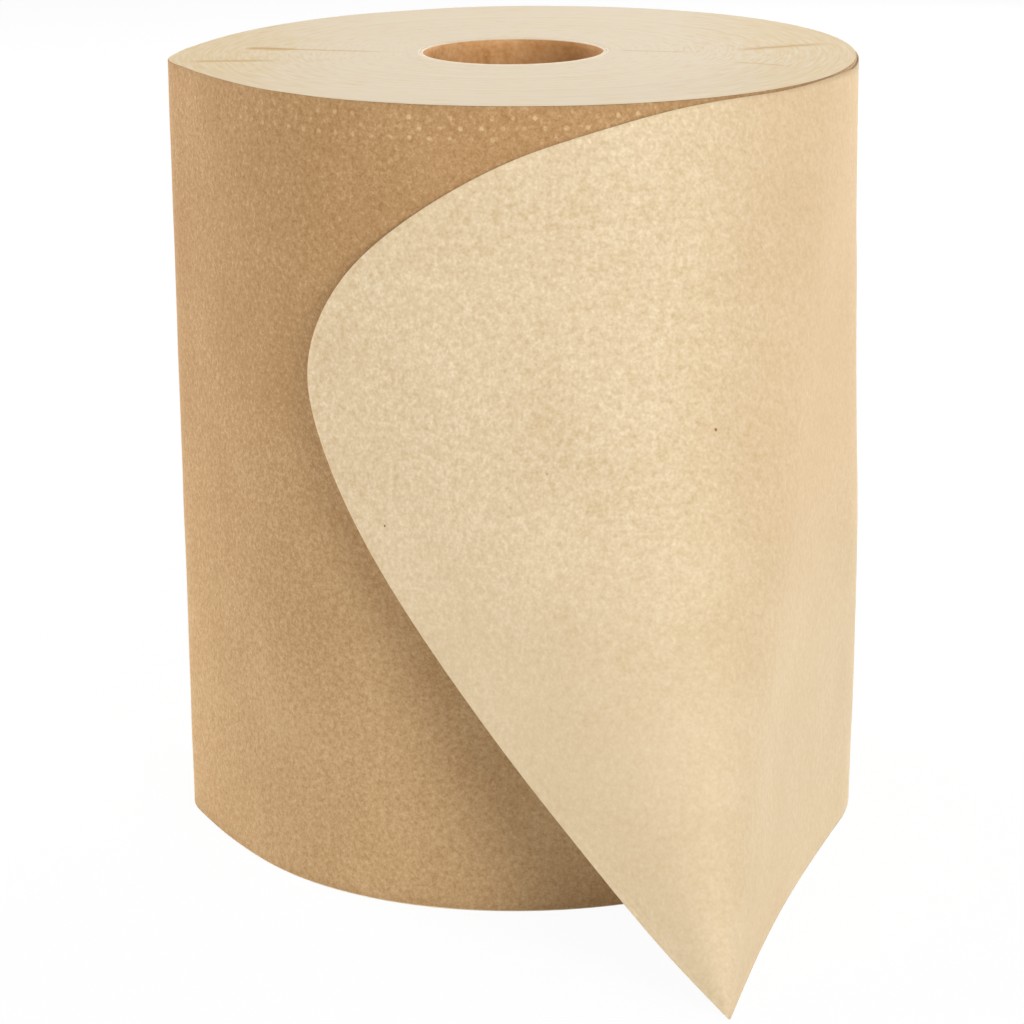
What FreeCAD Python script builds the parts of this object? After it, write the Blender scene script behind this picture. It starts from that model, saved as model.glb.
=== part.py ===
import FreeCAD, Part
import math
import os

# A roll of brown paper hand towel, standing on its end with the last turn's free end pulled off.
# Millimetres and degrees. The roll's axis is Z and its lower end lies on z = 0.
# Angles are counted from +X towards +Y; the free end leaves at the right and reaches to the front, -Y.

# The roll
roll_width = 203.2
roll_diameter = 179.4
sheet_thickness = 0.3
core_bore = 47.0
core_wall = 0.8

# The last turn, which has sprung loose at the right
last_turn_gap = 0.4
slit_root_angle = 62.0
slit_open_angle = 30.0

# The free end: it leaves the roll along an upright line, flat, with a straight foot along the floor.
# From there it bends round the roll along straight lines that all run to the tip of the foot.
leave_angle = -16.3
foot_length = 135.0

# Its border, from the leaving line's top along the upper edge, round the corner and down the free edge:
# angle, radius as a share of the roll's last turn, height as a share of the roll's width
border_places = [
    (-16.3, 1.000, 1.000), (-30.0, 1.000, 0.995), (-43.0, 1.000, 0.991), (-56.0, 1.000, 0.988),
    (-68.0, 1.000, 0.982), (-78.0, 1.000, 0.965), (-88.0, 1.000, 0.942), (-98.0, 1.000, 0.906),
    (-108.0, 1.000, 0.856), (-118.5, 1.008, 0.778), (-123.3, 1.031, 0.675), (-120.3, 1.051, 0.588),
    (-107.8, 1.120, 0.428), (-100.6, 1.183, 0.352), (-93.7, 1.271, 0.278), (-87.4, 1.379, 0.205),
    (-81.9, 1.507, 0.134), (-76.4, 1.673, 0.054),
]
# The bend is laid out as this many flat strips
strip_count = 60

# Turns that stand a hair lower show as rings in both ends
ring_count = 7
ring_width = 0.9
ring_depth = 0.25
ring_margin = 5.0

# The spiral of the turn that shows is laid out as this many arcs
arc_count = 4

turn_step = sheet_thickness + last_turn_gap
wound_radius = roll_diameter / 2 - turn_step
core_radius = core_bore / 2 + core_wall
crest_radius = wound_radius + last_turn_gap


def polar(radius, angle, height=0.0):
    """Point at a radius, an angle in degrees and a height."""
    turn = math.radians(angle)
    return FreeCAD.Vector(radius * math.cos(turn), radius * math.sin(turn), height)


def arc(start_radius, end_radius, start_angle, end_angle):
    """Arc whose radius goes evenly from one value to the other."""
    middle = polar((start_radius + end_radius) / 2, (start_angle + end_angle) / 2)
    return Part.Arc(polar(start_radius, start_angle), middle, polar(end_radius, end_angle)).toShape()


def outer_spiral():
    """The turn that shows, clockwise, as equal arcs that grow outwards by one step in a turn."""
    arcs = []
    for index in range(arc_count):
        start = index / arc_count
        end = (index + 1) / arc_count
        arcs.append(arc(wound_radius + turn_step * start, wound_radius + turn_step * end,
                        slit_open_angle - 360 * start, slit_open_angle - 360 * end))
    return arcs


def loose_turn_outline():
    """The loose last turn in plan, from the slit's mouth to the leaving line and back to the slit's root."""
    outside = wound_radius + turn_step
    root_radius = wound_radius + last_turn_gap / 2
    return [
        arc(outside, outside, slit_open_angle, leave_angle),
        Part.makeLine(polar(outside, leave_angle), polar(crest_radius, leave_angle)),
        arc(crest_radius, crest_radius, leave_angle, slit_open_angle),
        arc(crest_radius, root_radius, slit_open_angle, slit_root_angle),
        arc(root_radius, wound_radius, slit_root_angle, slit_open_angle),
    ]


def wound_turns():
    """The turns as one block: the spiral outline with the loose turn, raised to the roll's width."""
    outline = Part.Wire(outer_spiral() + loose_turn_outline())
    block = Part.Face(outline).extrude(FreeCAD.Vector(0, 0, roll_width))
    return block.cut(Part.makeCylinder(core_radius, roll_width))


def ring_groove(radius, height, direction):
    """A V-shaped ring at the given end, cut inwards along direction."""
    rim = FreeCAD.Vector(0, 0, height - direction * ring_depth)
    bottom = FreeCAD.Vector(radius, 0, height + direction * ring_depth)
    inner = FreeCAD.Vector(radius - ring_width, 0, rim.z)
    outer = FreeCAD.Vector(radius + ring_width, 0, rim.z)
    section = Part.Face(Part.makePolygon([inner, bottom, outer, inner]))
    return section.revolve(FreeCAD.Vector(0, 0, 0), FreeCAD.Vector(0, 0, 1), 360)


def end_rings():
    """The rings of both ends, evenly spaced between the core and the outer turns."""
    first = core_radius + ring_margin
    last = wound_radius - ring_margin
    grooves = []
    for index in range(ring_count):
        radius = first + (last - first) * index / (ring_count - 1)
        grooves.append(ring_groove(radius, 0.0, 1))
        grooves.append(ring_groove(radius, roll_width, -1))
    return grooves


def foot_start():
    """Where the free end's foot leaves the roll."""
    return polar(crest_radius, leave_angle)


def tip():
    """The corner of the free end that lies on the floor, where all its straight lines meet."""
    return foot_start() + polar(foot_length, leave_angle - 90.0)


def free_end_corners():
    """Corners of the inner face's border, from the foot's start over the upper edge to the free edge's end."""
    points = []
    for angle, radius_share, height_share in border_places:
        points.append(polar(crest_radius * radius_share, angle, roll_width * height_share))
    curve = Part.BSplineCurve()
    curve.interpolate(Points=points, InitialTangent=polar(1.0, leave_angle - 90.0), FinalTangent=tip() - points[-1])
    return [foot_start()] + curve.discretize(Number=strip_count + 1)


def corner_normals(corners):
    """Unit normals of the sheet at its border corners, away from the roll: upright up to the first bending line."""
    normals = [polar(1.0, leave_angle), polar(1.0, leave_angle)]
    for before, corner, after in zip(corners[1:], corners[2:], corners[3:] + [tip()]):
        normals.append((corner - tip()).cross(after - before).normalize())
    return normals


def outer_tip():
    """The tip on the outer face: level with the tip, between the directions that the sheet faces there."""
    first = polar(1.0, leave_angle)
    last = corner_normals(free_end_corners())[-1]
    between = FreeCAD.Vector(first.x + last.x, first.y + last.y, 0).normalize()
    return tip() + between * sheet_thickness


def flat(*corners):
    """Flat face with the given corners."""
    return Part.Face(Part.makePolygon(list(corners) + [corners[0]]))


def free_end():
    """The free end as flat strips between the straight lines from the tip, each face with the sheet's thickness."""
    inner = free_end_corners()
    outer = [corner + normal * sheet_thickness for corner, normal in zip(inner, corner_normals(inner))]
    inner_tip = tip()
    faces = [flat(inner[0], inner[1], outer[1], outer[0]), flat(inner_tip, inner[0], outer[0], outer_tip())]
    for index in range(len(inner) - 1):
        faces.append(flat(inner_tip, inner[index + 1], inner[index]))
        faces.append(flat(outer_tip(), outer[index], outer[index + 1]))
    for index in range(1, len(inner) - 1):
        faces.append(flat(inner[index], inner[index + 1], outer[index + 1]))
        faces.append(flat(inner[index], outer[index + 1], outer[index]))
    faces.append(flat(inner[-1], inner_tip, outer_tip()))
    faces.append(flat(inner[-1], outer_tip(), outer[-1]))
    shell = Part.makeShell(faces)
    shell.sewShape()
    solid = Part.Solid(shell)
    if solid.Volume < 0:
        solid.reverse()
    return solid


def paper():
    """Wound turns, loose turn and free end: one sheet, so one solid."""
    turns = wound_turns().cut(Part.makeCompound(end_rings()))
    return turns.fuse(free_end())


def core_tube():
    """The board tube that the paper is wound on, flush with both ends."""
    tube = Part.makeCylinder(core_radius, roll_width)
    return tube.cut(Part.makeCylinder(core_bore / 2, roll_width))


def save(name, shape):
    """Check one sub-part, write it and say its size."""
    solid = shape.Solids[0]
    print(name, "valid", shape.isValid(), "solids", len(shape.Solids), "volume", round(solid.Volume, 1))
    solid.exportStep("parts/" + name + ".step")


os.makedirs("parts", exist_ok=True)
save("paper", paper())
save("core_tube", core_tube())
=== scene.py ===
import math
import bpy
import numpy as np
from mathutils import Matrix, Vector


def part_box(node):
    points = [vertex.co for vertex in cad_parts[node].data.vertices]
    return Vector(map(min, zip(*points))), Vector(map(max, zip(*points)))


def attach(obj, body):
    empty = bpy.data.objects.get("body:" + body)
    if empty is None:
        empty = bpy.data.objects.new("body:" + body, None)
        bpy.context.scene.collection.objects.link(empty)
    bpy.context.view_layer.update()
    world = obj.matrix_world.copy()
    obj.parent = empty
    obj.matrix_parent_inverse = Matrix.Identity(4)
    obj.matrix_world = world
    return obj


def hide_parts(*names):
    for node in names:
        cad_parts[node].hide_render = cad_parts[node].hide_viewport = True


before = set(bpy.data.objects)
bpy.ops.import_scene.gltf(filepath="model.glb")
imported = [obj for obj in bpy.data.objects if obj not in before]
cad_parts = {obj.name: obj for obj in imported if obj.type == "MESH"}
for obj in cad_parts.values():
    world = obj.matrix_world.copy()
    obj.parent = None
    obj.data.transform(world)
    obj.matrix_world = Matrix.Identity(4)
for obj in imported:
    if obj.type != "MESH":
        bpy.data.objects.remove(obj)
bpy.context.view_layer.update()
print("frame loaded:", sorted(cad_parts))

mm = 0.001
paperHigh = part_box("paper")[1]
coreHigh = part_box("core_tube")[1]

# what every piece shares; angles are in degrees, counted from +X towards +Y
roll = {
    "width": paperHigh.z,            # the paper's width is the roll's height as it stands
    "coreRadius": coreHigh.x,
    "boreRadius": 23.5 * mm,
    "crestRadius": 89.4 * mm,        # inner face of the loose last turn
    "sheetThickness": 0.3 * mm,
    "lastTurnGap": 0.4 * mm,         # air under the loose last turn
    "slitRoot": 62.0,                # where the slit in the last turn begins
    "slitOpen": 30.0,                # from here on the last turn lies loose
    "leaveAngle": -16.3,             # where the free end leaves the roll
    "footLength": 135.0 * mm,        # straight edge of the free end along the floor
}
roll["turnStep"] = roll["sheetThickness"] + roll["lastTurnGap"]
roll["woundRadius"] = roll["crestRadius"] - roll["lastTurnGap"]


# meshes

def polar(radius, angle, height):
    # points at a radius, an angle in degrees and a height, as one array with the coordinates last
    turn = np.radians(angle)
    return np.stack(np.broadcast_arrays(radius * np.cos(turn), radius * np.sin(turn), height), axis=-1)


def smoothStep(value, low, high):
    # 0 below low, 1 above high, and a smooth S between them
    share = np.clip((value - low) / (high - low), 0.0, 1.0)
    return share * share * (3.0 - 2.0 * share)


def hill(value, low, high):
    # 0 outside low to high, and a smooth rise to 1 midway between them
    share = np.clip((value - low) / (high - low), 0.0, 1.0)
    return np.sin(math.pi * share) ** 2


def waves(x, y, seed, count, longest, shortest):
    # sum of plain sine waves in random directions, scaled to about -1 to 1
    draw = np.random.default_rng(seed)
    total = np.zeros(np.broadcast(x, y).shape)
    for _ in range(count):
        length = math.exp(draw.uniform(math.log(shortest), math.log(longest)))
        direction = draw.uniform(0.0, 2.0 * math.pi)
        phase = draw.uniform(0.0, 2.0 * math.pi)
        distance = x * math.cos(direction) + y * math.sin(direction)
        total = total + np.sin(2.0 * math.pi * distance / length + phase)
    return total / math.sqrt(count)


def splineThrough(knots, count):
    # natural cubic spline through the knots, evenly sampled along its summed chords: the bends at the knots
    # solve one linear system, and each span is the cubic that has its two end points and two end bends
    knots = np.asarray(knots, dtype=float)
    chord = np.diff(knots, axis=0)
    gap = np.linalg.norm(chord, axis=1)
    knotAt = np.concatenate([[0.0], np.cumsum(gap)])
    gap = np.diff(knotAt)
    inner = np.arange(1, len(knots) - 1)
    system = np.eye(len(knots))
    system[inner, inner - 1] = gap[:-1]
    system[inner, inner] = 2.0 * (gap[:-1] + gap[1:])
    system[inner, inner + 1] = gap[1:]
    right = np.zeros(knots.shape)
    right[inner] = 6.0 * np.diff(chord / gap[:, None], axis=0)
    bend = np.linalg.solve(system, right)
    where = np.linspace(0.0, knotAt[-1], count)
    span = np.clip(np.searchsorted(knotAt, where, side="right") - 1, 0, len(knots) - 2)
    a = ((knotAt[span + 1] - where) / gap[span])[:, None]
    b = 1.0 - a
    bent = (a ** 3 - a) * bend[span] + (b ** 3 - b) * bend[span + 1]
    return a * knots[span] + b * knots[span + 1] + bent * (gap[span] ** 2)[:, None] / 6.0


def curveAt(knots, where, samples=400):
    # smooth curve through (place, value) knots, read at the places asked for
    curve = splineThrough(knots, samples)
    return np.interp(where, curve[:, 0], curve[:, 1])


def gridFaces(rows, columns, closed=False):
    # corner numbers of the quads of a grid, row by row; a closed grid joins its last lines to its first
    r, c = np.meshgrid(np.arange(rows if closed else rows - 1), np.arange(columns if closed else columns - 1),
                       indexing="ij")
    nextRow = (r + 1) % rows
    nextColumn = (c + 1) % columns
    here = [r * columns + c, r * columns + nextColumn]
    beyond = [nextRow * columns + nextColumn, nextRow * columns + c]
    return np.stack(here + beyond, axis=-1).reshape(-1, 4)


def linkObject(name, data):
    # an object at the origin that shows the data
    item = bpy.data.objects.new(name, data)
    bpy.context.collection.objects.link(item)
    return item


def makeObject(name, points, faces):
    # smooth object from corner points and faces that all have the same number of corners
    mesh = bpy.data.meshes.new(name)
    mesh.vertices.add(len(points))
    mesh.vertices.foreach_set("co", points.astype(np.float32).ravel())
    mesh.loops.add(faces.size)
    mesh.loops.foreach_set("vertex_index", faces.astype(np.int32).ravel())
    mesh.polygons.add(len(faces))
    mesh.polygons.foreach_set("loop_start", np.arange(0, faces.size, faces.shape[1], dtype=np.int32))
    mesh.update(calc_edges=True)
    mesh.validate()
    mesh.polygons.foreach_set("use_smooth", np.ones(len(mesh.polygons), dtype=bool))
    return linkObject(name, mesh)


# the wound turns

woundTurns = {
    "columns": 480,
    "sideRows": 56,
    "endRows": 104,
    "endCrowding": 1.15,             # above 1, the rows of the upper end lie closer together at its rim
    "lowerEndRows": 34,
    "wallRows": 4,
    "unevenness": 0.12 * mm,         # the side lies this far in, give or take the swing's share of it
    "unevenSwing": 0.5,
    "unevenWaves": {"seed": 3, "count": 14, "longest": 90.0 * mm, "shortest": 18.0 * mm},
    "ringDepth": 0.10 * mm,          # the rings lie this low, give or take the swing's share of it
    "ringSwing": 0.35,
    # real turns are 0.2 mm apart, too fine to show, so the rings are drawn coarser
    "ringPitch": 1.7 * mm,
    "ringWaves": {"seed": 7, "count": 9, "longest": 4.0, "shortest": 0.9},      # lengths in pitches
    # how the rings wander off the circle: share of a pitch, times a turn, phase
    "ringDrift": [(0.35, 1.0, 0.0), (0.2, 3.0, 40.0)],
    "lowerRelief": 0.5,              # the lower end's relief against the upper end's
    "edgeRounding": 0.35 * mm,
    # the upper end sinks at its rim at the front right, where the loose turn has pulled the turns down
    "droop": 0.9 * mm,
    "droopRadii": (60.0 * mm, 89.0 * mm),
    "droopAngles": (-120.0, 50.0),
    # the roll has been squeezed and isn't quite round: angle, loss of radius in millimetres
    "squeeze": [
        (-180.0, 1.2), (-174.0, 0.0), (-166.0, 2.0), (-158.0, 3.6), (-148.0, 4.2), (-138.0, 3.4),
        (-128.0, 2.3), (-118.0, 1.2), (-108.0, 0.4), (-98.0, 0.0), (-70.0, 0.0), (-40.0, 0.0),
        (-20.0, 0.1), (-5.0, 0.2), (10.0, 0.1), (25.0, 0.0), (40.0, 0.0), (60.0, 0.0),
        (85.0, 0.0), (96.0, 0.6), (107.0, 1.9), (118.0, 3.2), (130.0, 4.3), (140.0, 5.1),
        (150.0, 5.4), (160.0, 5.2), (168.0, 4.2), (175.0, 2.6), (180.0, 1.2),
    ],
}


def woundRadiusAt(angle):
    # radius of the outermost wound turn: it grows by one step a turn and dips under the loose last turn
    share = np.mod(roll["slitOpen"] - angle, 360.0) / 360.0
    radius = roll["woundRadius"] + roll["turnStep"] * share
    dip = 1.0 - smoothStep(angle, roll["slitOpen"], roll["slitRoot"])
    underLoose = (angle > roll["slitOpen"]) & (angle < roll["slitRoot"])
    radius = np.where(underLoose, radius - roll["turnStep"] * dip * share, radius)
    return radius - curveAt(woundTurns["squeeze"], angle) * mm


def rimDroop(radius, angle):
    # how far the upper end sinks: a smooth step outwards times a hill round the roll
    s = woundTurns
    return s["droop"] * smoothStep(radius, *s["droopRadii"]) * hill(angle, *s["droopAngles"])


def endRelief(radius, angle):
    # height of an end against its flat plane: waves across the rings, a hair lower than the plane everywhere
    s = woundTurns
    drift = sum(share * np.sin(np.radians(times * angle + phase)) for share, times, phase in s["ringDrift"])
    rings = waves(radius / s["ringPitch"] + drift, 0.0 * angle, **s["ringWaves"])
    return s["ringDepth"] * (s["ringSwing"] * rings - 1.0)


def sideOfTurns(angle, outside):
    # the side: upright lines at the outermost turn's radius, a little uneven, that end at the rounded edges
    s = woundTurns
    height = np.linspace(s["edgeRounding"], roll["width"] - s["edgeRounding"], s["sideRows"])[:, None]
    uneven = waves(np.radians(angle) * roll["woundRadius"], height, **s["unevenWaves"])
    radius = outside - s["unevenness"] * (1.0 + s["unevenSwing"] * uneven)
    return polar(radius, angle, height * (1.0 - rimDroop(outside, angle) / roll["width"]))


def endsOfTurns(angle, outside):
    # the upper end from its rim inwards, the hole's wall downwards, and the lower end out to its rim
    s = woundTurns
    width = roll["width"]
    inner = roll["coreRadius"]
    outer = outside - s["edgeRounding"]
    inward = (np.linspace(0.0, 1.0, s["endRows"]) ** s["endCrowding"])[:, None]
    upperRadius = outer * (1.0 - inward) + inner * inward
    upperHeight = width + endRelief(upperRadius, angle) - rimDroop(upperRadius, angle)
    wallHeight = np.linspace(width, 0.0, s["wallRows"] + 2)[1:-1, None]
    outward = np.linspace(0.0, 1.0, s["lowerEndRows"])[:, None]
    lowerRadius = inner * (1.0 - outward) + outer * outward
    lowerHeight = -endRelief(lowerRadius, angle) * s["lowerRelief"]
    return [polar(upperRadius, angle, upperHeight), polar(inner, angle, wallHeight),
            polar(lowerRadius, angle, lowerHeight)]


def makeWoundTurns():
    # closed ring surface: up the side, in over the upper end, down the hole and out under the lower end
    s = woundTurns
    angle = np.linspace(-180.0, 180.0, s["columns"], endpoint=False)[None, :]
    outside = woundRadiusAt(angle)
    points = np.concatenate([sideOfTurns(angle, outside)] + endsOfTurns(angle, outside))
    rows, columns = points.shape[:2]
    piece = makeObject("wound_turns", points.reshape(-1, 3), gridFaces(rows, columns, closed=True))
    materialNumber = np.zeros((rows, columns), dtype=np.int32)
    materialNumber[s["sideRows"]:, :] = 1
    piece.data.polygons.foreach_set("material_index", materialNumber.ravel())
    return piece


# the loose last turn and the free end

freeEnd = {
    "turnColumns": 60,
    "rootOverlap": 4.0,              # degrees past the slit's root, where the loose turn lies on the roll
    "heightRows": 70,
    "rimColumns": 220,
    "fanRows": 110,
    "looseShare": 0.85,              # share of the loose turn's length that can stand out or sink
    # how far the loose turn stands out at the right: share of the height, millimetres
    "bulge": [
        (0.0, 0.6), (0.1, 1.0), (0.2, 1.4), (0.35, 1.6), (0.45, 1.3), (0.55, 0.7), (0.65, 0.3),
        (0.75, 0.0), (0.85, -0.35), (1.0, -0.42),
    ],
    "bulgeReach": 60.0 * mm,         # past the leaving line
    "dip": 1.9 * mm,                 # the upper edge sinks by this much near the leaving line
    "backDip": 0.7 * mm,             # and by this much behind the right side
    "backDipAngles": (0.0, 30.0),
    "footBow": 2.3 * mm,             # the foot bends this far in between the roll and the tip
    "bowFade": 1.5,                  # power with which the bow fades up the sheet
    # border along the upper edge, round the corner and down the free edge:
    # angle, radius as a share of the loose turn's, height as a share of the roll's width
    "border": [
        (-30.0, 1.000, 0.994), (-43.0, 1.000, 0.992), (-57.0, 1.000, 0.991), (-68.0, 1.000, 0.982),
        (-78.0, 1.000, 0.965), (-88.0, 1.000, 0.942), (-98.0, 1.000, 0.906), (-108.0, 1.000, 0.856),
        (-118.5, 1.008, 0.778), (-123.3, 1.031, 0.675), (-120.3, 1.051, 0.588), (-107.8, 1.120, 0.428),
        (-100.6, 1.183, 0.352), (-93.7, 1.271, 0.278), (-87.4, 1.379, 0.205), (-81.9, 1.507, 0.134),
        (-76.4, 1.673, 0.054),
    ],
}


def looseWall():
    # the loose last turn from its root to the leaving line: a wall that stands out and sinks a little
    s = freeEnd
    crest = roll["crestRadius"]
    leave = roll["leaveAngle"]
    angle = np.linspace(roll["slitRoot"] + s["rootOverlap"], leave, s["turnColumns"])[None, :]
    up = np.linspace(0.0, 1.0, s["heightRows"])[:, None]
    arc = np.radians(leave - angle) * crest
    root = arc.min()
    looseFrom = root * s["looseShare"]
    bulge = curveAt(s["bulge"], up) * mm * hill(arc, looseFrom, s["bulgeReach"])
    sunk = s["dip"] * hill(arc, looseFrom, -root) + s["backDip"] * smoothStep(angle, *s["backDipAngles"])
    return polar(crest + bulge, angle, up * (roll["width"] - sunk))


def freeEndRim(leaving, tip):
    # the far ends of the fan's lines: up the leaving line, then along the sheet's border towards the tip
    s = freeEnd
    crest = roll["crestRadius"]
    border = [polar(crest * share, angle, roll["width"] * high) for angle, share, high in s["border"]]
    knots = np.array([leaving[-1]] + border + [tip])
    return np.concatenate([leaving, splineThrough(knots, s["rimColumns"])[1:-1]])


def freeEndFan(rim, leavingRows, tip):
    # points on the straight lines from the rim to the tip; the foot bows in, and the bow fades up the sheet
    s = freeEnd
    share = (1.0 - np.linspace(0.0, 1.0, s["fanRows"] + 1)[1:-1])[:, None, None]
    low = np.clip(1.0 - rim[:, 2] / roll["width"], 0.0, 1.0)
    low[leavingRows:] = 0.0
    bow = s["footBow"] * np.sin(math.pi * share) * (low ** s["bowFade"])[None, :, None]
    return tip + share * (rim - tip) - bow * polar(1.0, roll["leaveAngle"], 0.0)


def cornerNormals(points, faceSets):
    # unit normal at each corner: the summed normals of the faces round it, each as long as its face is large
    normal = np.zeros_like(points)
    for faces in faceSets:
        across = points[faces[:, 2]] - points[faces[:, 0]]
        other = points[faces[:, -1]] - points[faces[:, 1]]
        facing = np.cross(across, other)
        for column in faces.T:
            np.add.at(normal, column, facing)
    return normal / np.linalg.norm(normal, axis=1, keepdims=True)


def makeSheet(name, points, quads, triangles):
    # closed sheet: the inner face, the same face moved out by the thickness, and a strip round the border
    outer = points + roll["sheetThickness"] * cornerNormals(points, (quads, triangles))
    outer[:, 2] = np.maximum(outer[:, 2], 0.0)     # nothing goes below the floor
    count = len(points)
    edges = np.concatenate([np.stack([faces, np.roll(faces, -1, axis=1)], axis=-1).reshape(-1, 2)
                            for faces in (quads, triangles)])
    # an edge is on the border when no face has it the other way round
    number = edges[:, 0] * count + edges[:, 1]
    start, finish = edges[~np.isin(number, edges[:, 1] * count + edges[:, 0])].T
    strip = np.stack([finish, start, start + count, finish + count], axis=-1)
    groups = [quads + count, quads[:, ::-1], strip, triangles + count, triangles[:, ::-1]]
    faces = [face for group in groups for face in group.tolist()]
    mesh = bpy.data.meshes.new(name)
    mesh.from_pydata(np.concatenate([points, outer]).tolist(), [], faces)
    mesh.validate()
    smooth = np.ones(len(mesh.polygons), dtype=bool)
    smooth[2 * len(quads):2 * len(quads) + len(strip)] = False
    mesh.polygons.foreach_set("use_smooth", smooth)
    return linkObject(name, mesh)


def makeFreeEnd():
    # a curved wall round the right side, then straight lines from the tip to the leaving line and to the rim
    leave = roll["leaveAngle"]
    tip = polar(roll["crestRadius"], leave, 0.0) + polar(roll["footLength"], leave - 90.0, 0.0)
    wall = looseWall()
    rows, columns = wall.shape[:2]
    rim = freeEndRim(wall[:, -1, :], tip)
    fan = freeEndFan(rim, rows, tip)
    points = np.concatenate([wall.reshape(-1, 3), rim[rows:], fan.reshape(-1, 3), tip[None, :]])
    # corner numbers of the fan line by line; its outermost line is the wall's last column, then the rim
    wallCorners = np.arange(rows) * columns + columns - 1
    rimCorners = rows * columns + np.arange(len(rim) - rows)
    fanCorners = rows * columns + len(rimCorners) + np.arange(len(fan) * len(rim)).reshape(len(fan), -1)
    lines = np.concatenate([np.concatenate([wallCorners, rimCorners])[None, :], fanCorners])
    fanQuads = np.stack([lines[:-1, :-1], lines[1:, :-1], lines[1:, 1:], lines[:-1, 1:]], axis=-1)
    quads = np.concatenate([gridFaces(rows, columns), fanQuads.reshape(-1, 4)])
    last = lines[-1]
    triangles = np.stack([last[:-1], np.full(len(last) - 1, len(points) - 1), last[1:]], axis=-1)
    return makeSheet("free_end", points, quads[:, ::-1], triangles[:, ::-1])


# the core

core = {
    "columns": 256,
    "rows": 120,
    "seamPitch": 95.0 * mm,
    "seamStep": 0.12 * mm,
    "stepRise": (0.0, 0.02),         # shares of a turn
    "stepFade": (0.3, 1.0),
    "boreClearance": 0.1 * mm,
    "outsideClearance": 0.05 * mm,
    "endDrop": 0.15 * mm,            # the end stands as low as the turns beside it
}


def makeCore():
    # closed tube; the inner wall has a shallow helical step where the board strip meets itself
    s = core
    angle = np.linspace(-180.0, 180.0, s["columns"], endpoint=False)[None, :]
    down = np.linspace(roll["width"] - s["endDrop"], 0.0, s["rows"])[:, None]
    turn = np.mod(angle / 360.0 + down / s["seamPitch"], 1.0)
    step = s["seamStep"] * smoothStep(turn, *s["stepRise"]) * (1.0 - smoothStep(turn, *s["stepFade"]))
    inside = polar(roll["boreRadius"] + s["boreClearance"] - step, angle, down)
    outside = polar(roll["coreRadius"] - s["outsideClearance"], angle, down[::-1])
    points = np.concatenate([inside, outside])
    rows, columns = points.shape[:2]
    return makeObject("board_core", points.reshape(-1, 3), gridFaces(rows, columns, closed=True))


# materials

multiply = {"operation": "MULTIPLY"}
smooth = {"interpolation_type": "SMOOTHSTEP"}
paperGloss = 0.2                     # paper and board hardly shine


def linear(code):
    # a hex sRGB colour as linear red, green, blue and alpha
    values = [int(code[i:i + 2], 16) / 255.0 for i in (1, 3, 5)]
    return tuple(v / 12.92 if v <= 0.04045 else ((v + 0.055) / 1.055) ** 2.4 for v in values) + (1.0,)


def addNode(material, kind, settings, *inputs, **named):
    # one node: settings are its own properties, inputs go to its sockets in order and named ones by name;
    # each is a value, another node's output, or a node that stands for its first output
    node = material.node_tree.nodes.new("ShaderNode" + kind)
    for key, value in settings.items():
        setattr(node, key, value)
    links = list(zip(node.inputs, inputs))
    links += [(node.inputs[key.replace("_", " ")], value) for key, value in named.items()]
    for socket, value in links:
        source = value.outputs[0] if isinstance(value, bpy.types.Node) else value
        if isinstance(source, bpy.types.NodeSocket):
            material.node_tree.links.new(source, socket)
        else:
            socket.default_value = source
    return node


def newMaterial(name):
    # a material without nodes
    material = bpy.data.materials.new(name)
    material.use_nodes = True
    material.node_tree.nodes.clear()
    return material


def coordinates(material):
    # the piece's own coordinates in metres, together and one by one
    at = addNode(material, "TexCoord", {}).outputs["Object"]
    x, y, z = addNode(material, "SeparateXYZ", {}, at).outputs
    return at, x, y, z


def weightedSum(material, base, *terms):
    # base plus each term's value times its weight
    total = base
    for value, weight in terms:
        total = addNode(material, "Math", {"operation": "MULTIPLY_ADD"}, value, weight, total)
    return total


def fibreColour(material, grain, piece):
    # colour ramp over the grain: dark, middle and pale fibres, spread apart round 0.5
    ramp = addNode(material, "ValToRGB", {}, grain)
    elements = ramp.color_ramp.elements
    elements.new(0.5)
    for element, shade, offset in zip(elements, ("dark", "middle", "pale"), (-1.0, 0.0, 1.0)):
        element.position = 0.5 + offset * piece["spread"]
        element.color = linear(piece[shade])
    return ramp


def finishPaper(material, colour, height, depth, roughness, passes=0.0, glow=None):
    # matt paper with relief; passes is the share of light that goes through each face of a thin sheet
    bump = addNode(material, "Bump", {}, Height=height, Distance=depth, Strength=1.0)
    surface = addNode(material, "BsdfPrincipled", {}, Base_Color=colour, Roughness=roughness, Normal=bump,
                      Specular_IOR_Level=paperGloss)
    if passes:
        through = addNode(material, "BsdfTranslucent", {}, Color=glow, Normal=bump)
        surface = addNode(material, "MixShader", {}, passes, surface, through)
    addNode(material, "OutputMaterial", {}, surface)


tissue = {
    "clump": 1.3 * mm,               # clumps of fibre left by the creping
    "clumpShare": 0.6,
    "fibre": 0.6 * mm,
    "fibreShare": 0.3,
    "cloud": 30.0 * mm,              # slow change of shade over the sheet
    "cloudShare": 0.18,
    "grainDepth": 0.10 * mm,
    "roughness": 0.92,
}


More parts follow.
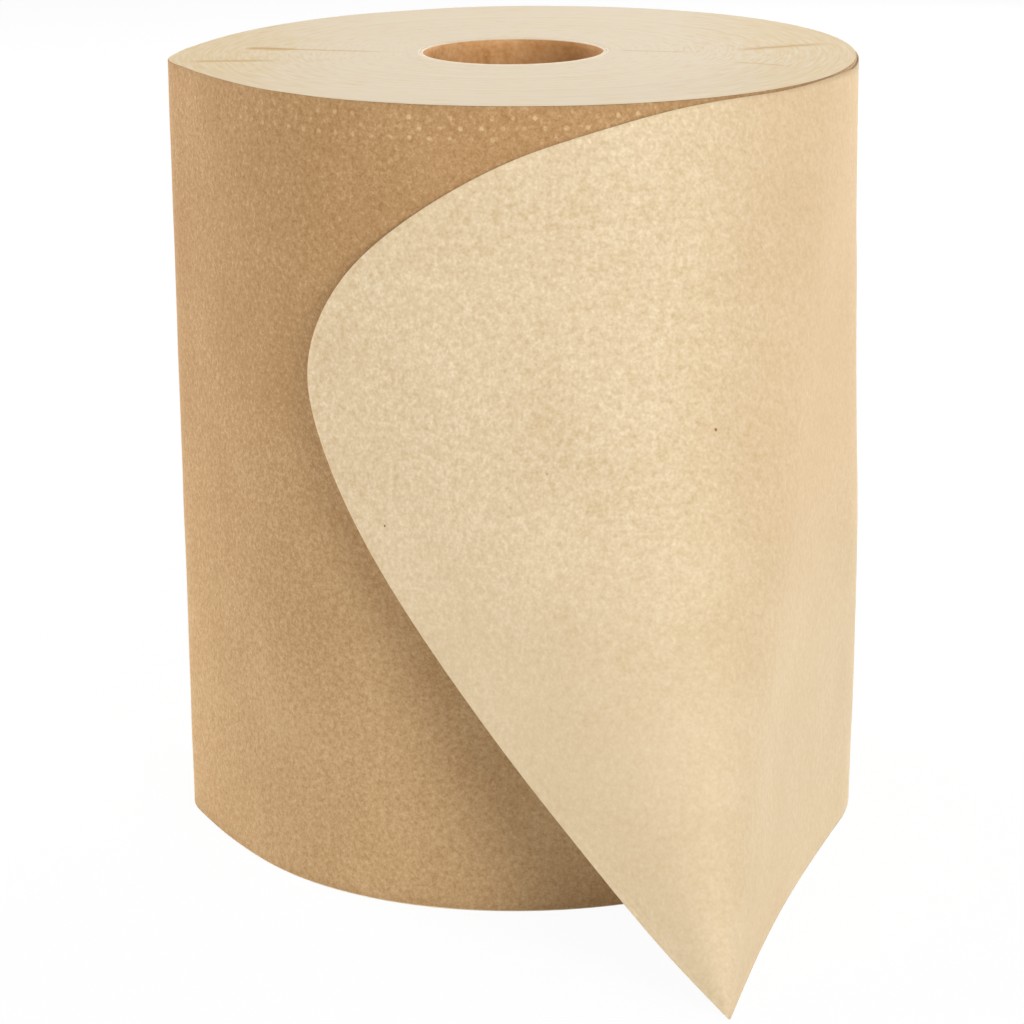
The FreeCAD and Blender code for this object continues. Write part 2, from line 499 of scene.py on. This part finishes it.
def tissueGrain(material, at, strength, coarser=1.0):
    # grain around 0.5: noise of clumps and fibres, around 0 and times the strength, and a faint slow cloud
    s = tissue
    clump = addNode(material, "TexNoise", {}, Vector=at, Scale=1.0 / (s["clump"] * coarser), Detail=3.0,
                    Roughness=0.7)
    fibre = addNode(material, "TexNoise", {}, Vector=at, Scale=1.0 / (s["fibre"] * coarser), Detail=1.0)
    cloud = addNode(material, "TexNoise", {}, Vector=at, Scale=1.0 / s["cloud"], Detail=2.0)
    level = -0.5 * (s["clumpShare"] + s["fibreShare"])
    fine = weightedSum(material, level, (clump, s["clumpShare"]), (fibre, s["fibreShare"]))
    strong = addNode(material, "Math", multiply, fine, strength)
    return weightedSum(material, 0.5 - 0.5 * s["cloudShare"], (strong, 1.0), (cloud, s["cloudShare"]))


woundSide = {
    "dark": "#8d6a42",
    "middle": "#a28058",
    "pale": "#bb9e75",
    "spread": 0.25,
    # two heights, and what holds at each: the grain's strength, and how much paler the paper is painted there,
    # which is painted light from the floor
    "grainRange": (60.0 * mm, 190.0 * mm, 0.95, 1.2),
    "paintedFloorLightRange": (0.0, 200.0 * mm, 0.12, -0.06),
    # embossed dots near the upper edge, in rows set off by half a pitch, raised in relief and painted paler as
    # highlights
    "dotPitch": 5.0 * mm,
    "dotEdge": (0.55, 0.95),
    "dotBottom": (193.0 * mm, 195.0 * mm, 0.0, 1.0),
    "dotTop": (200.5 * mm, 201.5 * mm, 1.0, 0.0),
    "dotsAcross": (-85.0 * mm, -50.0 * mm, 0.25, 1.0),       # they fade towards the left
    "dotPatches": 4.0 * mm,
    "dotWeight": 0.33,
}


def woundColourAndFloorLight(material, value, z):
    # the roll's own brown, with painted light from the floor that makes it a little paler towards the floor
    # painted light from the floor: paler low down, darker high up
    paler = addNode(material, "MapRange", smooth, z, *woundSide["paintedFloorLightRange"])
    return fibreColour(material, weightedSum(material, value, (paler, 1.0)), woundSide)


def embossedDotsAndPaintedHighlights(material, at, x, y, z):
    # product of two cosines, round the roll and up it, cut off so that round dots stay, within one band
    s = woundSide
    turn = addNode(material, "Math", {"operation": "ARCTAN2"}, y, x)
    wave = 2.0 * math.pi / s["dotPitch"]
    cosines = []
    for value, scale in ((turn, wave * roll["woundRadius"]), (z, wave)):
        angle = addNode(material, "Math", multiply, value, scale)
        cosines.append(addNode(material, "Math", {"operation": "COSINE"}, angle))
    product = addNode(material, "Math", multiply, *cosines)
    dots = addNode(material, "MapRange", smooth, product, *s["dotEdge"])
    for value, limits in ((z, s["dotBottom"]), (z, s["dotTop"]), (x, s["dotsAcross"])):
        fade = addNode(material, "MapRange", smooth, value, *limits)
        dots = addNode(material, "Math", multiply, dots, fade)
    patches = addNode(material, "TexNoise", {}, Vector=at, Scale=1.0 / s["dotPatches"], Detail=0.0)
    return addNode(material, "Math", multiply, dots, patches)


def woundTissue():
    # unbleached creped kraft tissue, wound tight: matt brown with fine grain, dotted along the upper edge with
    # embossed dots painted paler as highlights, and painted light from the floor low down
    s = woundSide
    material = newMaterial("kraft tissue, wound")
    at, x, y, z = coordinates(material)
    grain = tissueGrain(material, at, addNode(material, "MapRange", smooth, z, *s["grainRange"]))
    # the dots raise the relief and paint the colour paler: painted highlights
    value = weightedSum(material, grain, (embossedDotsAndPaintedHighlights(material, at, x, y, z), s["dotWeight"]))
    finishPaper(material, woundColourAndFloorLight(material, value, z), value, tissue["grainDepth"], tissue["roughness"])
    return material


freeTissue = {
    "dark": "#b99e78",
    "middle": "#ccb897",
    "pale": "#e0d0b2",
    "spread": 0.25,
    "grainRange": (50.0 * mm, 130.0 * mm, 0.5, 1.1),         # two heights and the grain's strength there
    "coarser": 1.35,
    "paintedShade": "#c6a77e",                # painted shade: the sheet is darker and warmer high up on the right
    "paintedShadeAcross": (30.0 * mm, 75.0 * mm, 0.0, 0.5),
    "paintedShadeUp": (40.0 * mm, 120.0 * mm),
    "backFrom": 12.0,                # from this angle back, the sheet turns as brown as the roll
    "glow": "#dfaa6c",               # colour of the light that comes through the sheet
    "passes": 0.10,
    "speck": "#7d5733",
    "speckCore": 0.5,                # share of a speck's radius that has its full colour
    # brown specks of bark in the paper: place and radius in millimetres
    "specks": [((46.7, -105.0, 128.3), 0.6), ((7.0, -111.2, 119.5), 0.45), ((-32.1, -93.0, 102.0), 0.4)],
}


def addSpecks(material, at, colour):
    # the colour with a soft round speck at each place
    s = freeTissue
    for centre, radius in s["specks"]:
        place = tuple(value * mm for value in centre)
        away = addNode(material, "VectorMath", {"operation": "DISTANCE"}, at, place).outputs["Value"]
        speck = addNode(material, "MapRange", smooth, away, s["speckCore"] * radius * mm, radius * mm, 1.0, 0.0)
        colour = addNode(material, "MixRGB", {}, speck, colour, linear(s["speck"]))
    return colour


def freeEndTissue():
    # one layer of the same tissue, which lets some light through: paler, with coarser grain, a few specks and
    # painted shade high up on the right
    s = freeTissue
    material = newMaterial("kraft tissue, free end")
    at, x, y, z = coordinates(material)
    strength = addNode(material, "MapRange", smooth, z, *s["grainRange"])
    grain = tissueGrain(material, at, strength, s["coarser"])
    # painted shade: darker and warmer high up on the right
    warm = addNode(material, "Math", multiply, addNode(material, "MapRange", smooth, x, *s["paintedShadeAcross"]),
                   addNode(material, "MapRange", smooth, z, *s["paintedShadeUp"]))
    colour = addNode(material, "MixRGB", {}, warm, fibreColour(material, grain, s), linear(s["paintedShade"]))
    turn = addNode(material, "Math", {"operation": "ARCTAN2"}, y, x)
    backAngles = [math.radians(angle) for angle in (s["backFrom"], roll["slitRoot"])]
    back = addNode(material, "MapRange", smooth, turn, *backAngles)
    # behind the right side the sheet takes the roll's brown, with its painted light from the floor
    colour = addNode(material, "MixRGB", {}, back, colour, woundColourAndFloorLight(material, grain, z))
    colour = addSpecks(material, at, colour)
    finishPaper(material, colour, grain, tissue["grainDepth"], tissue["roughness"], s["passes"],
                linear(s["glow"]))
    return material


ends = {
    "middle": "#e3d3ba",
    "warm": "#dbc397",
    "streak": 0.8 * mm,
    "streakStretch": 6.0 * mm,       # length that a radian has in the streaks' noise, so they run round
    "cloud": 25.0 * mm,
    "warmSides": (30.0 * mm, 85.0 * mm),
    # warmth: its base, and the weights of the sides, the cloud and the streaks
    "warmBase": -1.5,
    "sideWarmth": 0.75,
    "cloudWarmth": 0.5,
    "streakWarmth": 2.5,
    "depth": 0.06 * mm,
    "creaseRelief": -2.0,            # creases lie low
    "roughness": 0.85,
    # creases where the roll was squeezed: start, finish and half width in millimetres, and strength
    "crease": "#c8a56e",
    "creaseBegins": 0.2,             # shares of a crease's length where it is full and where it starts to fade
    "creaseFades": 0.6,
    "creases": [
        ((-72.0, 10.0), (-28.0, -1.1), 1.6, 0.7), ((-71.0, 9.5), (-55.0, 5.0), 4.0, 0.9),
        ((-84.0, -13.7), (-57.1, -13.5), 3.0, 0.8), ((25.1, -0.9), (50.0, -6.0), 1.2, 0.5),
        ((56.0, -4.0), (86.0, 12.5), 4.0, 0.6), ((60.0, -2.0), (84.8, 12.0), 1.2, 0.5),
        ((55.0, -23.5), (72.0, -29.0), 1.6, 0.5),
    ],
}


def creaseMask(material, at, start, finish, halfWidth):
    # 1 on the line from start to finish, fading across it and towards both its ends
    length = math.dist(start, finish) * mm
    turn = math.atan2(finish[1] - start[1], finish[0] - start[0])
    local = addNode(material, "Mapping", {"vector_type": "TEXTURE"}, Vector=at,
                    Location=(start[0] * mm, start[1] * mm, 0.0), Rotation=(0.0, 0.0, turn))
    lengthwise, across, _ = addNode(material, "SeparateXYZ", {}, local).outputs
    away = addNode(material, "Math", {"operation": "ABSOLUTE"}, across)
    mask = addNode(material, "MapRange", smooth, away, 0.0, halfWidth * mm, 1.0, 0.0)
    full = ends["creaseBegins"] * length
    fading = ends["creaseFades"] * length
    for limits in ((0.0, full, 0.0, 1.0), (fading, length, 1.0, 0.0)):
        fade = addNode(material, "MapRange", smooth, lengthwise, *limits)
        mask = addNode(material, "Math", multiply, mask, fade)
    return mask


def turnEnds():
    # thousands of slit paper edges pressed flat: smooth and pale, with faint rings and a few radial creases;
    # the rings are drawn coarser than the real turns, which are too fine to show
    s = ends
    material = newMaterial("slit edges of the turns")
    at, x, y, _ = coordinates(material)
    flatPlace = addNode(material, "CombineXYZ", {}, x, y, 0.0)
    radius = addNode(material, "VectorMath", {"operation": "LENGTH"}, flatPlace).outputs["Value"]
    turn = addNode(material, "Math", {"operation": "ARCTAN2"}, y, x)
    arc = addNode(material, "Math", multiply, turn, s["streakStretch"])
    ringPlace = addNode(material, "CombineXYZ", {}, radius, arc, 0.0)
    streak = addNode(material, "TexNoise", {}, Vector=ringPlace, Scale=1.0 / s["streak"], Detail=2.0)
    cloud = addNode(material, "TexNoise", {}, Vector=at, Scale=1.0 / s["cloud"], Detail=2.0)
    side = addNode(material, "Math", {"operation": "ABSOLUTE"}, x)
    sides = addNode(material, "MapRange", smooth, side, *s["warmSides"])
    warm = weightedSum(material, s["warmBase"], (sides, s["sideWarmth"]), (cloud, s["cloudWarmth"]),
                       (streak, s["streakWarmth"]))
    colour = addNode(material, "MixRGB", {}, warm, linear(s["middle"]), linear(s["warm"]))
    masks = [(creaseMask(material, at, start, finish, halfWidth), strength)
             for start, finish, halfWidth, strength in s["creases"]]
    creases = weightedSum(material, 0.0, *masks)
    colour = addNode(material, "MixRGB", {}, creases, colour, linear(s["crease"]))
    height = weightedSum(material, 0.0, (streak, 1.0), (creases, s["creaseRelief"]))
    finishPaper(material, colour, height, s["depth"], s["roughness"])
    return material


board = {
    "dark": "#a87842",
    "middle": "#c29260",
    "pale": "#cfa474",
    "spread": 0.2,
    "fibre": 1.2 * mm,
    "blotch": 6.0 * mm,
    "seam": "#c08a44",
    "seamShare": 0.7,
    # the seam band's two edges, in shares of the pitch
    "seamStart": (0.0, 0.01, 0.0, 1.0),
    "seamStop": (0.09, 0.11, 1.0, 0.0),
    "paintedHoleShade": "#94683a",               # painted shade: the hole's wall is darker at the right
    "paintedHoleShadeAcross": (-4.0 * mm, 18.0 * mm, 0.0, 0.6),
    "endRing": (roll["width"] - 0.6 * mm, roll["width"] - 0.2 * mm),
    "depth": 0.08 * mm,
    "roughness": 0.85,
}


def seamBand(material, x, y, z):
    # 1 on a helical band: the fraction of the turn plus the height's share of the pitch, between two edges
    turn = addNode(material, "Math", {"operation": "ARCTAN2"}, y, x)
    helix = weightedSum(material, 0.5, (turn, 0.5 / math.pi), (z, -1.0 / core["seamPitch"]))
    seam = addNode(material, "Math", {"operation": "FRACT"}, helix)
    edges = [addNode(material, "MapRange", smooth, seam, *board[edge]) for edge in ("seamStart", "seamStop")]
    return addNode(material, "Math", multiply, *edges)


def coreBoard():
    # spiral wound brown board: a helical seam band, darker and more orange, over fine fibre, with painted shade
    # on the hole's wall at the right
    s = board
    material = newMaterial("core board")
    at, x, y, z = coordinates(material)
    fibre = addNode(material, "TexNoise", {}, Vector=at, Scale=1.0 / s["fibre"], Detail=2.0)
    blotch = addNode(material, "TexNoise", {}, Vector=at, Scale=1.0 / s["blotch"], Detail=2.0)
    grain = weightedSum(material, 0.0, (fibre, 0.5), (blotch, 0.5))
    band = addNode(material, "Math", multiply, seamBand(material, x, y, z), s["seamShare"])
    colour = addNode(material, "MixRGB", {}, band, fibreColour(material, grain, s), linear(s["seam"]))
    # painted shade: the hole's wall darker towards the right
    shade = addNode(material, "MapRange", smooth, x, *s["paintedHoleShadeAcross"])
    colour = addNode(material, "MixRGB", {}, shade, colour, linear(s["paintedHoleShade"]))
    ring = addNode(material, "MapRange", smooth, z, *s["endRing"])
    colour = addNode(material, "MixRGB", {}, ring, colour, linear(ends["middle"]))
    finishPaper(material, colour, grain, s["depth"], s["roughness"])
    return material


# the stage, the light and the camera

white = (1.0, 1.0, 1.0, 1.0)

stage = {
    "floorHalf": 3.0,
    "floorColour": "#f0f0f0",
    "floorGlow": 0.95,               # share of plain white that the camera sees in the floor
    "lampWidth": 0.8,
    "lampAim": (0.0, 0.0, 0.1),
    # lamps: place in metres, power in watts
    "lamps": {
        "front right": ((0.773, -1.338, 0.514), 13.4),
        "front left": ((-0.400, -1.493, 0.514), 9.2),
        "high right": ((0.452, -0.970, 1.289), 6.8),
        "right": ((1.493, -0.400, 0.514), 2.2),
        "left": ((-1.540, 0.135, 0.514), 12.0),
        "back left": ((-1.184, 0.993, 0.514), 24.0),
        "back right": ((1.093, 1.093, 0.514), 20.5),
        "back": ((0.529, 1.452, 0.514), 12.5),
    },
}


def makeFloor():
    # a wide pale floor that keeps a faint shadow and looks almost white to the camera
    half = stage["floorHalf"]
    points = np.array([(-half, -half, 0.0), (half, -half, 0.0), (half, half, 0.0), (-half, half, 0.0)])
    floor = makeObject("floor", points, np.array([[0, 1, 2, 3]]))
    material = newMaterial("white floor")
    diffuse = addNode(material, "BsdfDiffuse", {}, linear(stage["floorColour"]))
    glow = addNode(material, "Emission", {}, white, 1.0)
    path = addNode(material, "LightPath", {})
    seen = addNode(material, "Math", multiply, path.outputs["Is Camera Ray"], stage["floorGlow"])
    mixed = addNode(material, "MixShader", {}, seen, diffuse, glow)
    addNode(material, "OutputMaterial", {}, mixed)
    floor.data.materials.append(material)


def makeWorld():
    # white where it is seen, reflected or looked at through something; the lamps give all other light
    world = bpy.data.worlds.new("studio")
    bpy.context.scene.world = world
    world.use_nodes = True
    world.node_tree.nodes.clear()
    path = addNode(world, "LightPath", {})
    seen = path.outputs["Is Camera Ray"]
    for ray in ("Is Glossy Ray", "Is Transmission Ray"):
        seen = addNode(world, "Math", {"operation": "MAXIMUM"}, seen, path.outputs[ray])
    light = addNode(world, "Background", {}, white, seen)
    addNode(world, "OutputWorld", {}, light)


def makeLamp(name, place, power):
    # a soft round lamp turned towards the roll
    lamp = bpy.data.lights.new(name, "AREA")
    lamp.shape = "DISK"
    lamp.size = stage["lampWidth"]
    lamp.energy = power
    holder = linkObject(name, lamp)
    holder.location = place
    holder.rotation_euler = (Vector(stage["lampAim"]) - Vector(place)).to_track_quat("-Z", "Y").to_euler()


camera = {
    "place": (-1.4 * mm, -879.97 * mm, 329.221 * mm),
    "pitch": 0.27733,                # radians below the horizon
    "tilt": -0.00925,                # radians round the line of sight
    "focalPixels": 3396.173,
    "pictureSide": 1024,             # pixels
    "sensor": 36.0,
    "clipStart": 0.01,
}


def makeCamera():
    # the camera looks along +Y, bent down by the pitch, and is turned round its line of sight by the tilt
    s = camera
    ahead = Vector((0.0, math.cos(s["pitch"]), -math.sin(s["pitch"])))
    right = Vector((1.0, 0.0, 0.0))
    up = right.cross(ahead)
    turnedRight = math.cos(s["tilt"]) * right + math.sin(s["tilt"]) * up
    turnedUp = math.cos(s["tilt"]) * up - math.sin(s["tilt"]) * right
    data = bpy.data.cameras.new("camera")
    data.sensor_width = s["sensor"]
    data.lens = s["focalPixels"] / s["pictureSide"] * s["sensor"]
    data.clip_start = s["clipStart"]
    holder = linkObject("camera", data)
    turn = Matrix((turnedRight, turnedUp, -ahead)).transposed().to_4x4()
    holder.matrix_world = Matrix.Translation(s["place"]) @ turn
    bpy.context.scene.camera = holder


makeCamera()
makeFloor()
makeWorld()
for lampName, (lampPlace, lampPower) in stage["lamps"].items():
    makeLamp(lampName, lampPlace, lampPower)
bpy.context.scene.view_settings.view_transform = "Standard"
print("stage, light and camera made")

turns = makeWoundTurns()
turns.data.materials.append(woundTissue())
turns.data.materials.append(turnEnds())
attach(turns, "root")
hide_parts("paper")
print("wound turns made:", len(turns.data.polygons), "faces")

sheet = makeFreeEnd()
sheet.data.materials.append(freeEndTissue())
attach(sheet, "root")
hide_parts("paper")
print("free end made:", len(sheet.data.polygons), "faces")

tube = makeCore()
tube.data.materials.append(coreBoard())
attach(tube, "root")
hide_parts("core_tube")
print("core made:", len(tube.data.polygons), "faces")
